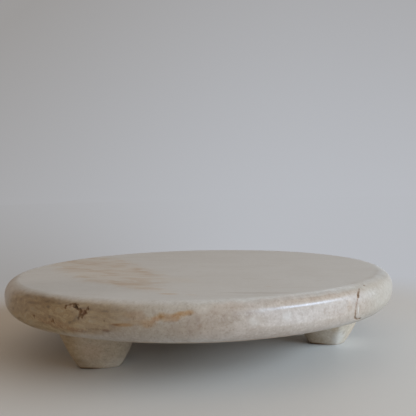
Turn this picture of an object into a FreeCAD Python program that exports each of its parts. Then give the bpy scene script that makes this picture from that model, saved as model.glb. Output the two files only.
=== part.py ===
# Chakla: a round stone board for rolling out dough, on three short stone feet.
# The board is a turned disc with a bullnosed rim. Each foot is turned by itself, with a spigot
# on its shoulder that is let into a blind socket in the board's underside. A thin bed of stone
# cement fills the joint and shows as a fine line round the top of the foot.
# Millimetres, +Z up. The origin is on the floor, under the middle of the board.

import FreeCAD
import Part
import Sketcher
import math
import os

PARTS_FOLDER = "parts"

# Driving dimensions: alias, value, what it measures.
DIMENSIONS = (
    ("board_diameter", "280", "board, across the widest part of the rim"),
    ("board_thickness", "24", "board, top face to underside"),
    ("rim_top_radius", "10", "rounding between the top face and the rim"),
    ("rim_bottom_radius", "11.5", "rounding between the rim and the underside"),
    ("rim_limit_share", "0.49", "most of the thickness that one rounding may take"),
    ("foot_height", "28", "floor to the board's underside"),
    ("foot_inset", "20", "rim to the nearest point of a foot's shoulder"),
    ("foot_shoulder_radius", "27", "foot, at the shoulder under the board"),
    ("foot_base_radius", "13", "foot, where its side meets the floor"),
    ("foot_side_bulge", "2", "rise of the side's arc above its chord"),
    ("foot_base_round", "1.6", "rounding between the foot's side and its base"),
    ("foot_start_angle", "90", "degrees from +X to the back foot"),
    ("spigot_radius", "12", "spigot on the foot's shoulder"),
    ("spigot_length", "10", "spigot, above the board's underside"),
    ("spigot_chamfer", "1.2", "lead-in at the spigot's tip, on both legs"),
    ("bed_thickness", "0.5", "cement under the board, round the spigot and over its tip"),
    ("bed_setback", "0.5", "how far the cement is raked back from the foot's side"),
)

# Feet in order round the board, counter-clockwise from the start angle.
FEET = ("back", "front_left", "front_right")
TURN_DEGREES = 360
FOOT_STEP_DEGREES = TURN_DEGREES / len(FEET)

# Edges closer than this are at the same height.
SAME_HEIGHT = 1e-6


def make_sheet(doc):
    """The spreadsheet of driving dimensions, one alias to a row."""
    sheet = doc.addObject("Spreadsheet::Sheet", "Dimensions")
    for row, (alias, value, meaning) in enumerate(DIMENSIONS, start=1):
        sheet.set(f"A{row}", alias)
        sheet.set(f"B{row}", value)
        sheet.set(f"C{row}", meaning)
        sheet.setAlias(f"B{row}", alias)
    doc.recompute()
    return sheet


def cell(alias):
    """A driving dimension, as expressions refer to it."""
    return f"Dimensions.{alias}"


# Heights and radii that several pieces share, as expressions of the driving dimensions.
BOARD_RADIUS = f"({cell('board_diameter')} / 2)"
UNDERSIDE = cell("foot_height")
BOARD_TOP = f"({UNDERSIDE} + {cell('board_thickness')})"
FOOT_CIRCLE = f"({BOARD_RADIUS} - {cell('foot_inset')} - {cell('foot_shoulder_radius')})"
SHOULDER = f"({UNDERSIDE} - {cell('bed_thickness')})"
SPIGOT_TIP = f"({UNDERSIDE} + {cell('spigot_length')})"
SPIGOT_LEAD = f"({SPIGOT_TIP} - {cell('spigot_chamfer')})"
SPIGOT_TIP_RADIUS = f"({cell('spigot_radius')} - {cell('spigot_chamfer')})"
SOCKET_RADIUS = f"({cell('spigot_radius')} + {cell('bed_thickness')})"
SOCKET_DEPTH = f"({cell('spigot_length')} + {cell('bed_thickness')})"
SOCKET_TOP = f"({UNDERSIDE} + {SOCKET_DEPTH})"
BED_RADIUS = f"({cell('foot_shoulder_radius')} - {cell('bed_setback')})"


def new_body(doc, label):
    body = doc.addObject("PartDesign::Body", label)
    body.Label = label
    return body


def origin_feature(body, role):
    """One of a body's own origin planes or axes."""
    return next(f for f in body.Origin.OriginFeatures if f.Role == role)


def new_sketch(body, name, plane):
    sketch = body.newObject("Sketcher::SketchObject", name)
    sketch.AttachmentSupport = [(origin_feature(body, plane), "")]
    sketch.MapMode = "FlatFace"
    return sketch


def bind(sketch, constraint, expression):
    """Adds a dimension to a sketch and ties it to an expression."""
    index = sketch.addConstraint(constraint)
    sketch.setExpression(f"Constraints[{index}]", expression)


def place_point(sketch, edge, end, point):
    """Dimensions one end of an edge from the sketch's origin. A coordinate of None lies on that axis."""
    origin_edge, origin_end = -1, 1
    horizontal_axis, vertical_axis = -1, -2
    across, up = point
    if across is None:
        sketch.addConstraint(Sketcher.Constraint("PointOnObject", edge, end, vertical_axis))
    else:
        distance = sketch.evalExpression(across)
        bind(sketch, Sketcher.Constraint("DistanceX", origin_edge, origin_end, edge, end, distance), across)
    if up is None:
        sketch.addConstraint(Sketcher.Constraint("PointOnObject", edge, end, horizontal_axis))
    else:
        distance = sketch.evalExpression(up)
        bind(sketch, Sketcher.Constraint("DistanceY", origin_edge, origin_end, edge, end, distance), up)


def bulged_arc(start, end, radius):
    """Arc of that radius from start up to end, bowed to the right of its chord."""
    chord = end - start
    middle = (start + end) / 2
    left = FreeCAD.Vector(-chord.y, chord.x, 0).normalize()
    centre = middle + left * math.sqrt(radius**2 - (chord.Length / 2) ** 2)
    begin_angle = math.atan2(start.y - centre.y, start.x - centre.x)
    end_angle = math.atan2(end.y - centre.y, end.x - centre.x)
    circle = Part.Circle(centre, FreeCAD.Vector(0, 0, 1), radius)
    return Part.ArcOfCircle(circle, begin_angle, end_angle)


def half_profile(body, points, arcs=None):
    """Closed half section in the XZ plane, one dimensioned corner at a time.

    arcs gives the radius of each side that is bowed outwards, by the number of the corner it starts from.
    """
    arcs = arcs or {}
    sketch = new_sketch(body, f"{body.Name}_profile", "XZ_Plane")
    corners = []
    for across, up in points:
        x = sketch.evalExpression(across) if across else 0
        y = sketch.evalExpression(up) if up else 0
        corners.append(FreeCAD.Vector(x, y, 0))
    for number, start in enumerate(corners):
        end = corners[(number + 1) % len(corners)]
        if number in arcs:
            side = bulged_arc(start, end, sketch.evalExpression(arcs[number]))
        else:
            side = Part.LineSegment(start, end)
        sketch.addGeometry(side)
    start_of, end_of = 1, 2
    for number, point in enumerate(points):
        before = (number - 1) % len(points)
        sketch.addConstraint(Sketcher.Constraint("Coincident", before, end_of, number, start_of))
        place_point(sketch, number, start_of, point)
    for number, radius in arcs.items():
        bind(sketch, Sketcher.Constraint("Radius", number, sketch.evalExpression(radius)), radius)
    return sketch


def turn(body, sketch):
    """Turns a half profile about the body's own vertical axis."""
    turned = body.newObject("PartDesign::Revolution", f"{body.Name}_turned")
    turned.Profile = sketch
    turned.ReferenceAxis = (sketch, ["V_Axis"])
    turned.Angle = TURN_DEGREES
    body.Document.recompute()
    return turned


def round_edge(body, base, name, height, radius):
    """Rounds the widest ring of the turned shape that lies level at that height."""
    level = base.evalExpression(height) if height else 0
    rings = []
    for number, edge in enumerate(base.Shape.Edges, start=1):
        box = edge.BoundBox
        if abs(box.ZMin - level) < SAME_HEIGHT and box.ZLength < SAME_HEIGHT:
            rings.append((box.XLength, f"Edge{number}"))
    width, widest = max(rings)
    rounding = body.newObject("PartDesign::Fillet", f"{body.Name}_{name}")
    rounding.Base = (base, [widest])
    rounding.setExpression("Radius", radius)
    body.Document.recompute()
    return rounding


def make_board(doc):
    """The round board: a turned disc, both edges of its rim rounded, with a socket for each foot."""
    body = new_body(doc, "board")
    sketch = half_profile(
        body,
        (
            (None, UNDERSIDE),
            (BOARD_RADIUS, UNDERSIDE),
            (BOARD_RADIUS, BOARD_TOP),
            (None, BOARD_TOP),
        ),
    )
    disc = turn(body, sketch)
    limit = f"{cell('board_thickness')} * {cell('rim_limit_share')}"
    top = round_edge(body, disc, "rim_top", BOARD_TOP, f"min({cell('rim_top_radius')}; {limit})")
    rim = round_edge(body, top, "rim_bottom", UNDERSIDE, f"min({cell('rim_bottom_radius')}; {limit})")
    cut_sockets(body, rim)
    return body


def cut_sockets(body, base):
    """One blind socket in the underside, repeated for every foot."""
    sketch = new_sketch(body, "socket_outline", "XY_Plane")
    sketch.setExpression("AttachmentOffset.Base.z", UNDERSIDE)
    sketch.setExpression("AttachmentOffset.Rotation.Angle", f"{cell('foot_start_angle')} * 1 deg")
    centre = FreeCAD.Vector(sketch.evalExpression(FOOT_CIRCLE), 0, 0)
    radius = sketch.evalExpression(SOCKET_RADIUS)
    sketch.addGeometry(Part.Circle(centre, FreeCAD.Vector(0, 0, 1), radius))
    centre_of = 3
    place_point(sketch, 0, centre_of, (FOOT_CIRCLE, None))
    bind(sketch, Sketcher.Constraint("Radius", 0, radius), SOCKET_RADIUS)
    body.Document.recompute()

    socket = body.newObject("PartDesign::Pocket", "socket")
    socket.Profile = sketch
    socket.setExpression("Length", SOCKET_DEPTH)
    socket.Reversed = True
    body.Document.recompute()

    sockets = body.newObject("PartDesign::PolarPattern", "sockets")
    sockets.Originals = [socket]
    sockets.Axis = (origin_feature(body, "Z_Axis"), [""])
    sockets.Angle = TURN_DEGREES
    sockets.Occurrences = len(FEET)
    body.Tip = sockets
    body.Document.recompute()

    removed = base.Shape.Volume - sockets.Shape.Volume
    one_socket = math.pi * radius**2 * body.evalExpression(SOCKET_DEPTH)
    if removed < one_socket * (len(FEET) - 1):
        raise ValueError(f"the sockets remove only {removed:.1f} mm3")


def stand_at_foot(body, number):
    """Moves a turned body from the origin to the axis of that foot."""
    angle = f"({cell('foot_start_angle')} + {number * FOOT_STEP_DEGREES}) * 1 deg"
    body.setExpression("Placement.Base.x", f"{FOOT_CIRCLE} * cos({angle})")
    body.setExpression("Placement.Base.y", f"{FOOT_CIRCLE} * sin({angle})")


def make_foot(doc, name, number):
    """A turned foot: a bowed taper from shoulder to base, with the spigot standing on its shoulder."""
    body = new_body(doc, f"foot_{name}")
    shoulder_radius, base_radius = cell("foot_shoulder_radius"), cell("foot_base_radius")
    bulge = cell("foot_side_bulge")
    chord_squared = f"(({shoulder_radius} - {base_radius})^2 + {SHOULDER}^2)"
    side_radius = f"({chord_squared} / (8 * {bulge}) + {bulge} / 2)"
    side = 1
    sketch = half_profile(
        body,
        (
            (None, None),
            (base_radius, None),
            (shoulder_radius, SHOULDER),
            (cell("spigot_radius"), SHOULDER),
            (cell("spigot_radius"), SPIGOT_LEAD),
            (SPIGOT_TIP_RADIUS, SPIGOT_TIP),
            (None, SPIGOT_TIP),
        ),
        arcs={side: side_radius},
    )
    turned = turn(body, sketch)
    round_edge(body, turned, "base_round", None, cell("foot_base_round"))
    stand_at_foot(body, number)
    return body


def make_bed(doc, name, number):
    """The cement of one joint: a washer under the board, a sleeve round the spigot and a cap over its tip."""
    body = new_body(doc, f"bed_{name}")
    sketch = half_profile(
        body,
        (
            (None, SPIGOT_TIP),
            (SPIGOT_TIP_RADIUS, SPIGOT_TIP),
            (cell("spigot_radius"), SPIGOT_LEAD),
            (cell("spigot_radius"), SHOULDER),
            (BED_RADIUS, SHOULDER),
            (BED_RADIUS, UNDERSIDE),
            (SOCKET_RADIUS, UNDERSIDE),
            (SOCKET_RADIUS, SOCKET_TOP),
            (None, SOCKET_TOP),
        ),
    )
    turn(body, sketch)
    stand_at_foot(body, number)
    return body


def check(doc, bodies):
    """Stops before anything is written if an object failed or a sub-part isn't one valid solid."""
    for item in doc.Objects:
        if {"Invalid", "Error"} & set(item.State):
            raise RuntimeError(f"{item.Label} failed: {item.State}")
    for body in bodies:
        shape = body.Shape
        if shape.isNull() or not shape.isValid() or len(shape.Solids) != 1:
            raise RuntimeError(f"{body.Label} isn't one valid solid")


def export(bodies):
    os.makedirs(PARTS_FOLDER, exist_ok=True)
    for body in bodies:
        body.Shape.exportStep(os.path.join(PARTS_FOLDER, f"{body.Label}.step"))
        print(f"{body.Label}: {body.Shape.Volume:.1f} mm3")


def main():
    doc = FreeCAD.newDocument("Chakla")
    make_sheet(doc)
    bodies = [make_board(doc)]
    for number, name in enumerate(FEET):
        bodies.append(make_foot(doc, name, number))
        bodies.append(make_bed(doc, name, number))
    doc.recompute()
    check(doc, bodies)
    export(bodies)


main()
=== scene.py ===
# Chakla: a round marble board for rolling out dough, on three short marble feet.
# Everything is in metres, in the part's own frame: +Z up, the floor at zero, the back foot on +Y.
import math

import bpy
import numpy as np
from mathutils import Matrix, Vector, noise


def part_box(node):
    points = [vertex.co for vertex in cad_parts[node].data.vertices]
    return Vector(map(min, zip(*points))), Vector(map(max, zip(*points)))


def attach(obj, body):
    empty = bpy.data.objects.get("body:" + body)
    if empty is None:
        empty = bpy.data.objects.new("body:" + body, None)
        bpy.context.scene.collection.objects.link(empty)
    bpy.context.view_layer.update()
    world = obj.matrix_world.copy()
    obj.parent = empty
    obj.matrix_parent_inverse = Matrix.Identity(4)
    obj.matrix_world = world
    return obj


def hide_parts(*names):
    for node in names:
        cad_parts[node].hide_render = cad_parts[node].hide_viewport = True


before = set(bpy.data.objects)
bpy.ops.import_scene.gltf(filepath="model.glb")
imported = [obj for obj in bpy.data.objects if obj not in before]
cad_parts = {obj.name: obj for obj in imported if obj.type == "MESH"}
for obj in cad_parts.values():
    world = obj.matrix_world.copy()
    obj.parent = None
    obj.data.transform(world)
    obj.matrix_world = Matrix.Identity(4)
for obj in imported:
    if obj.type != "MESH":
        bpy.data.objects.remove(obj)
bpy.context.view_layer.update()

# Board
# One thick disc of pale marble, turned and rubbed smooth, its rim rounded over above and below.
# Long use has stained it ochre on one side, opened a row of pits in the rim and cracked a piece
# of the rim through. Three blind sockets in the underside take the feet.
MM = 0.001


def middle_of(node):
    """The middle of a node's box, seen from above."""
    low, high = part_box(node)
    return np.array([(low.x + high.x) / 2, (low.y + high.y) / 2])


def radius_of(node):
    """The radius of a round node: half the width of its box."""
    low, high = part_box(node)
    return (high.x - low.x) / 2


board_low, board_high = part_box("board")
BOARD_RADIUS = radius_of("board")
UNDERSIDE = board_low.z
WORK_FACE = board_high.z
RIM_TOP_ROUND = 10 * MM
RIM_BOTTOM_ROUND = 11.5 * MM
FOOT_NAMES = ("back", "front_left", "front_right")

# How finely the disc is cut up: steps across each face, each rounding and the upright between them,
# then degrees round the rim, which are smaller within so many degrees of a break.
FACE_STEPS = 24
ROUND_STEPS = 46
UPRIGHT_STEPS = 3
TURN_STEP = 0.9
BROKEN_STEP = 0.13
BROKEN_REACH = 1.6

# What is broken out of the rim, as strokes through placed points: degrees round the rim, then in
# millimetres the height, half width and depth, and how dirty it is there.
CRACK = (
    (-60.4, 49.8, 0.35, 0.20, 0.35),
    (-61.6, 48.6, 0.50, 0.30, 0.55),
    (-62.6, 47.0, 0.80, 0.70, 0.75),
    (-63.2, 45.4, 0.50, 0.30, 0.40),
    (-63.9, 43.2, 0.50, 0.20, 0.30),
    (-64.4, 39.8, 0.60, 0.22, 0.36),
    (-64.6, 36.6, 0.65, 0.25, 0.40),
    (-64.2, 34.0, 0.65, 0.40, 0.40),
    (-62.7, 32.5, 0.65, 0.60, 0.44),
    (-61.2, 32.1, 0.70, 0.60, 0.58),
)
LONG_PIT = (
    (-138.1, 47.3, 0.90, 0.5, 0.55),
    (-137.6, 47.9, 0.50, 0.2, 0.35),
    (-136.9, 48.6, 0.60, 0.3, 0.50),
    (-136.2, 48.9, 0.55, 0.3, 0.45),
    (-135.6, 48.6, 1.00, 0.8, 0.75),
    (-135.0, 48.0, 1.20, 1.1, 0.95),
    (-134.5, 47.2, 0.90, 0.8, 0.80),
    (-134.0, 46.5, 0.60, 0.4, 0.50),
    (-133.5, 45.8, 1.00, 0.8, 0.65),
    (-133.3, 44.8, 0.80, 0.5, 0.50),
    (-133.2, 43.8, 1.10, 0.8, 0.60),
    (-133.5, 42.7, 0.80, 0.5, 0.50),
    (-133.8, 41.5, 0.60, 0.3, 0.40),
)
SHORT_PIT = (
    (-131.5, 47.1, 0.80, 0.5, 0.60),
    (-131.8, 46.2, 0.60, 0.3, 0.45),
    (-132.0, 45.3, 1.10, 0.6, 0.60),
    (-132.4, 44.3, 0.80, 0.4, 0.50),
    (-132.9, 43.3, 1.00, 0.6, 0.60),
)
SMALL_PITS = (
    (-141.8, 38.3, 1.00, 0.5, 0.50),
    (-149.3, 39.0, 0.90, 0.4, 0.45),
    (-126.8, 41.5, 0.45, 0.3, 0.30),
    (-57.0, 50.6, 0.60, 0.4, 0.50),
    (-75.5, 35.5, 0.45, 0.3, 0.20),
    (-98.0, 36.8, 0.50, 0.3, 0.20),
    (-12.0, 44.0, 0.70, 0.6, 0.40),
    (38.0, 47.5, 0.80, 0.6, 0.50),
    (39.2, 46.6, 0.60, 0.5, 0.40),
    (97.0, 38.5, 0.70, 0.5, 0.40),
    (148.0, 45.5, 0.90, 0.8, 0.60),
    (149.4, 46.3, 0.60, 0.5, 0.50),
)
BREAKS = (CRACK, LONG_PIT, SHORT_PIT) + tuple((pit,) for pit in SMALL_PITS)
PLACES_ROUND = [row[0] for rows in BREAKS for row in rows]

# The arris: on one stretch of the rim a flatter shoulder meets a steeper face. Its corner lies that far
# inside the rim and below the work face, and the two flats are tilted that far from level. It starts,
# ends and fades at those degrees round the rim.
ARRIS_INSIDE = 1.35 * MM
ARRIS_BELOW = 5.0 * MM
ARRIS_ROUND = 0.85 * MM
SHOULDER_TILT, FACE_TILT = math.radians(46), math.radians(84)
ARRIS_FROM, ARRIS_TO = -100, -62
ARRIS_FADE_IN, ARRIS_FADE_OUT = 16, 8


def way_round_the_rim():
    """Angles round the rim in radians, closer together beside the crack and the pits."""
    angles = []
    angle = -180.0
    while angle < 180:
        angles.append(angle)
        broken = min(abs(angle - place) for place in PLACES_ROUND) < BROKEN_REACH
        angle += BROKEN_STEP if broken else TURN_STEP
    return np.radians(angles)


def arc(centre, radius, start, end, count):
    """Points of an arc as (distance from the axis, height), from one angle in degrees to another."""
    angles = np.radians(np.linspace(start, end, count + 1))
    return np.column_stack([centre[0] + radius * np.cos(angles), centre[1] + radius * np.sin(angles)])


def line(start, end, count):
    """Points of a straight run, from one (distance from the axis, height) to another."""
    return np.linspace(start, end, count + 1)


def join(*runs):
    """One outline from runs that each start where the one before ends."""
    return np.vstack([runs[0]] + [run[1:] for run in runs[1:]])


def smooth(value, low, high):
    """A smooth rise from 0 to 1 as the value goes from low to high."""
    share = np.clip((value - low) / (high - low), 0, 1)
    return share * share * (3 - 2 * share)


def rounded_least(first, second, softness):
    """The lesser of two values, with the corner between them rounded off."""
    share = np.clip(0.5 + (second - first) / (2 * softness), 0, 1)
    return second + (first - second) * share - softness * share * (1 - share)


def ripples(points, waves):
    """Smooth noise made of waves that each have a height and a length."""
    total = np.zeros(len(points))
    for height, length in waves:
        total += height * np.array([noise.noise(Vector(point) / length) for point in points])
    return total


def put_in_scene(name, data):
    """A new object for a mesh, a lamp or a camera."""
    thing = bpy.data.objects.new(name, data)
    bpy.context.scene.collection.objects.link(thing)
    return thing


def turned(name, outline, angles, centre, work):
    """A closed mesh turned from an outline that starts and ends on the axis. The function work
    says how each point of the turned skin is moved, and how much it is darkened."""
    skin = outline[1:-1]
    along = np.gradient(skin, axis=0)
    facing = np.column_stack([along[:, 1], -along[:, 0]])
    facing /= np.linalg.norm(facing, axis=1)[:, None]
    if facing[np.argmax(skin[:, 0]), 0] < 0:
        facing = -facing
    around = np.stack([np.cos(angles), np.sin(angles)], axis=-1)[:, None, :]
    tall = np.ones((len(angles), 1, 1))
    points = np.concatenate([around * skin[None, :, :1], tall * skin[None, :, 1:]], axis=-1)
    normals = np.concatenate([around * facing[None, :, :1], tall * facing[None, :, 1:]], axis=-1)
    points = points.reshape(-1, 3)
    normals = normals.reshape(-1, 3)
    points[:, :2] += centre
    moves, darkening = work(points, np.repeat(angles, len(skin)), normals)
    points = points + moves
    turns, rings = len(angles), len(skin)
    grid = points.reshape(turns, rings, 3)
    poles = np.array([grid[:, 0].mean(axis=0), grid[:, -1].mean(axis=0)])
    faces = []
    for turn in range(turns):
        here, there = turn * rings, (turn + 1) % turns * rings
        faces.append((turns * rings, here, there))
        faces.append((turns * rings + 1, there + rings - 1, here + rings - 1))
        faces += [(here + r, here + r + 1, there + r + 1, there + r) for r in range(rings - 1)]
    mesh = bpy.data.meshes.new(name)
    mesh.from_pydata(np.vstack([points, poles]).tolist(), [], faces)
    darkness = mesh.attributes.new("darkness", "FLOAT", "POINT")
    darkness.data.foreach_set("value", np.append(darkening, (0, 0)).astype(np.float32))
    mesh.shade_smooth()
    return put_in_scene(name, mesh)


def rim_reach(height):
    """How far the rim stands from the axis at a height."""
    above = max(height - (WORK_FACE - RIM_TOP_ROUND), 0)
    below = max(UNDERSIDE + RIM_BOTTOM_ROUND - height, 0)
    top = RIM_TOP_ROUND - math.sqrt(max(RIM_TOP_ROUND**2 - above**2, 0))
    bottom = RIM_BOTTOM_ROUND - math.sqrt(max(RIM_BOTTOM_ROUND**2 - below**2, 0))
    return BOARD_RADIUS - top - bottom


def on_rim(degrees, height_mm):
    """The point of the rim that many degrees round and that many millimetres high."""
    angle, height = math.radians(degrees), height_mm * MM
    reach = rim_reach(height)
    return np.array([reach * math.cos(angle), reach * math.sin(angle), height])


# How far from a break its stone is touched, and how ragged the break is: waves of so many half widths
# and of that length. Groove and grime fade out between two distances, in half widths too.
STROKE_REACH = 5 * MM
RAGGED_EDGE = ((1.0, 1.3 * MM), (0.6, 0.65 * MM))
GROOVE_FROM, GROOVE_TO = 0.15, 1.25
GRIME_FROM, GRIME_TO = 0.5, 1.7


def carve(points, rows):
    """How deep each point lies in a ragged stroke through placed points, and how dirty it is.
    A lone pit is a stroke from its place to itself."""
    depth, darkening = np.zeros(len(points)), np.zeros(len(points))
    ends = np.array([on_rim(row[0], row[1]) for row in rows])
    from_ends = np.linalg.norm(points[:, None] - ends[None], axis=2).min(axis=1)
    near = np.flatnonzero(from_ends < STROKE_REACH)
    ragged = ripples(points[near], RAGGED_EDGE)
    steps = [(n, n + 1) for n in range(len(rows) - 1)] or [(0, 0)]
    for first, second in steps:
        start, run = ends[first], ends[second] - ends[first]
        share = np.clip((points[near] - start) @ run / max(run @ run, MM**2), 0, 1)
        half, deep, dirty = (a + (b - a) * share for a, b in zip(rows[first][2:], rows[second][2:]))
        away = np.linalg.norm(points[near] - start - share[:, None] * run, axis=1) + half * MM * ragged
        groove = 1 - smooth(away, GROOVE_FROM * half * MM, GROOVE_TO * half * MM)
        darkness = 1 - smooth(away, GRIME_FROM * half * MM, GRIME_TO * half * MM)
        depth[near] = np.maximum(depth[near], groove * deep * MM)
        darkening[near] = np.maximum(darkening[near], darkness * dirty)
    return depth, darkening


# Skin that faces away from a flat, with less than this cosine between them, isn't cut by it.
LEAST_FACING = 0.4


def cut_to_flat(points, normals, tilt):
    """How far each point has to go in along its normal to lie on a flat through the arris."""
    out = np.array([math.sin(tilt), math.cos(tilt)])
    corner = (BOARD_RADIUS - ARRIS_INSIDE, WORK_FACE - ARRIS_BELOW)
    place = np.column_stack([np.linalg.norm(points[:, :2], axis=1), points[:, 2]]) - corner
    facing = np.column_stack([np.linalg.norm(normals[:, :2], axis=1), normals[:, 2]]) @ out
    return np.where(facing > LEAST_FACING, place @ out / np.maximum(facing, LEAST_FACING), 0)


def arris_cut(points, normals, degrees):
    """How much stone is missing from the rounded edge where the arris was left."""
    shoulder = cut_to_flat(points, normals, SHOULDER_TILT)
    face = cut_to_flat(points, normals, FACE_TILT)
    here = smooth(degrees, ARRIS_FROM, ARRIS_FROM + ARRIS_FADE_IN)
    here *= 1 - smooth(degrees, ARRIS_TO - ARRIS_FADE_OUT, ARRIS_TO)
    return np.maximum(0, -rounded_least(-shoulder, -face, ARRIS_ROUND)) * here


# The waves left by rubbing down, each of a height and a length, and the share of them that is left on
# the faces. On skin that faces down they die out over each foot, within so many of its radii.
BOARD_WAVES = ((0.25 * MM, 45 * MM), (0.08 * MM, 12 * MM))
FACE_WAVES_SHARE = 0.3
SEAT_FADE = 1.4
FACING_DOWN = -0.5


def work_the_board(points, angles, normals):
    """The maker's hand and the years of use: soft waves, the arris, the pits and the crack."""
    upright = 1 - np.abs(normals[:, 2])
    waves = ripples(points, BOARD_WAVES)
    waves *= FACE_WAVES_SHARE + (1 - FACE_WAVES_SHARE) * upright
    for name in FOOT_NAMES:
        away = np.linalg.norm(points[:, :2] - middle_of(f"foot_{name}"), axis=1)
        seat = radius_of(f"foot_{name}")
        waves *= np.where(normals[:, 2] < FACING_DOWN, smooth(away, seat, SEAT_FADE * seat), 1)
    depth, darkening = np.max([carve(points, rows) for rows in BREAKS], axis=0)
    out = waves - arris_cut(points, normals, np.degrees(angles)) - depth
    return normals * out[:, None], darkening


high_centre = (BOARD_RADIUS - RIM_TOP_ROUND, WORK_FACE - RIM_TOP_ROUND)
round_top = arc(high_centre, RIM_TOP_ROUND, 90, 0, ROUND_STEPS)
low_centre = (BOARD_RADIUS - RIM_BOTTOM_ROUND, UNDERSIDE + RIM_BOTTOM_ROUND)
round_bottom = arc(low_centre, RIM_BOTTOM_ROUND, 0, -90, ROUND_STEPS)
board_outline = join(
    line((0, WORK_FACE), round_top[0], FACE_STEPS),
    round_top,
    line(round_top[-1], round_bottom[0], UPRIGHT_STEPS),
    round_bottom,
    line(round_bottom[-1], (0, UNDERSIDE), FACE_STEPS),
)
board = turned("marble_board", board_outline, way_round_the_rim(), (0, 0), work_the_board)

# The sockets are as wide as the cement that lines them. The drill starts below the underside, and its
# sides are so many degrees apart.
SOCKET_RADIUS = 12.5 * MM
SOCKET_OVERRUN = 1 * MM
SOCKET_STEP = 6


def socket_drill(name):
    """The round body that one socket is cut with, up to the top of the cement in it."""
    angles = np.radians(np.arange(0, 360, SOCKET_STEP))
    count = len(angles)
    ring = middle_of(f"bed_{name}") + SOCKET_RADIUS * np.column_stack([np.cos(angles), np.sin(angles)])
    heights = (UNDERSIDE - SOCKET_OVERRUN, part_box(f"bed_{name}")[1].z)
    points = [(x, y, height) for height in heights for x, y in ring.tolist()]
    sides = [(i, (i + 1) % count, (i + 1) % count + count, i + count) for i in range(count)]
    caps = [tuple(range(count))[::-1], tuple(range(count, 2 * count))]
    mesh = bpy.data.meshes.new(f"socket_{name}")
    mesh.from_pydata(points, [], sides + caps)
    return put_in_scene(mesh.name, mesh)


def cut_sockets(piece):
    """Cuts the three round sockets, one after the other."""
    for name in FOOT_NAMES:
        drill = socket_drill(name)
        cut = piece.modifiers.new(f"socket_{name}", "BOOLEAN")
        cut.operation = "DIFFERENCE"
        cut.solver = "EXACT"
        cut.object = drill
        bpy.context.view_layer.update()
        finished = piece.evaluated_get(bpy.context.evaluated_depsgraph_get())
        drilled = bpy.data.meshes.new_from_object(finished)
        piece.modifiers.clear()
        piece.data = drilled
        bpy.data.objects.remove(drill)


cut_sockets(board)
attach(board, "root")
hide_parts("board")


# The nodes of every material are added and fed by the functions from here on.
def feed(tree, socket, value):
    """Links another node's socket to this one, or sets this one's value."""
    if isinstance(value, bpy.types.NodeSocket):
        tree.links.new(value, socket)
    else:
        socket.default_value = value


def add(tree, kind, values=None, **settings):
    """A shader node with its settings, and its inputs by name or number."""
    node = tree.nodes.new("ShaderNode" + kind)
    for name, value in settings.items():
        setattr(node, name, value)
    for name, value in (values or {}).items():
        feed(tree, node.inputs[name], value)
    return node


def new_material(name):
    """A new material. Gives it, its nodes, its shader and the place of each point in metres."""
    material = bpy.data.materials.new(name)
    material.use_nodes = True
    tree = material.node_tree
    where = add(tree, "TexCoord").outputs["Object"]
    return material, tree, tree.nodes["Principled BSDF"], where


# The Mix node's names repeat, so its sockets for colours are taken by number.
MIX_SHARE, MIX_FIRST, MIX_SECOND, MIX_RESULT = 0, 6, 7, 2


def blend(tree, share, first, second, how="MIX"):
    """The colour that lies that share of the way from the first to the second."""
    values = {MIX_SHARE: share, MIX_FIRST: first, MIX_SECOND: second}
    return add(tree, "Mix", values, data_type="RGBA", blend_type=how).outputs[MIX_RESULT]


def ramp(tree, value, low, high, to_low=0.0, to_high=1.0):
    """A smooth change from to_low to to_high as the value goes from low to high."""
    values = {"Value": value, "From Min": low, "From Max": high, "To Min": to_low, "To Max": to_high}
    return add(tree, "MapRange", values, interpolation_type="SMOOTHSTEP").outputs["Result"]


def reckon(tree, operation, first, second):
    """The outcome of a sum with two values."""
    return add(tree, "Math", {0: first, 1: second}, operation=operation).outputs["Value"]


def vector(tree, operation, first, second=(0, 0, 0)):
    """The outcome of a sum with two vectors."""
    return add(tree, "VectorMath", {0: first, 1: second}, operation=operation).outputs["Vector"]


def speckle(tree, position, scale, detail=2.0, distortion=0.0):
    """Noise between 0 and 1 with that many waves to the metre."""
    values = {"Vector": position, "Scale": scale, "Detail": detail, "Distortion": distortion}
    return add(tree, "TexNoise", values).outputs["Fac"]


def new_group(name, inputs, outputs):
    """An empty shader group. Gives the group, the sockets that enter it and those that leave it."""
    group = bpy.data.node_groups.new(name, "ShaderNodeTree")
    for label, kind, default in inputs:
        socket = group.interface.new_socket(label, in_out="INPUT", socket_type="NodeSocket" + kind)
        socket.default_value = default
    for label, kind in outputs:
        group.interface.new_socket(label, in_out="OUTPUT", socket_type="NodeSocket" + kind)
    return group, group.nodes.new("NodeGroupInput").outputs, group.nodes.new("NodeGroupOutput").inputs


def use_group(tree, group, values):
    """Places a group with its own values, and gives what comes out of it."""
    node = tree.nodes.new("ShaderNodeGroup")
    node.node_tree = group
    for name, value in values.items():
        feed(tree, node.inputs[name], value)
    return node.outputs


# How many clouds, mottles and grains there are to the metre, between which levels a cloud sets in, and
# the share of the clouds that is left where the stone isn't mottled.
CLOUDS_PER_METRE, MOTTLES_PER_METRE, GRAINS_PER_METRE = 26, 300, 800
CLOUDS_FROM, CLOUDS_TO = 0.34, 0.66
CLOUDS_LEFT_SHARE = 0.25


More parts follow.
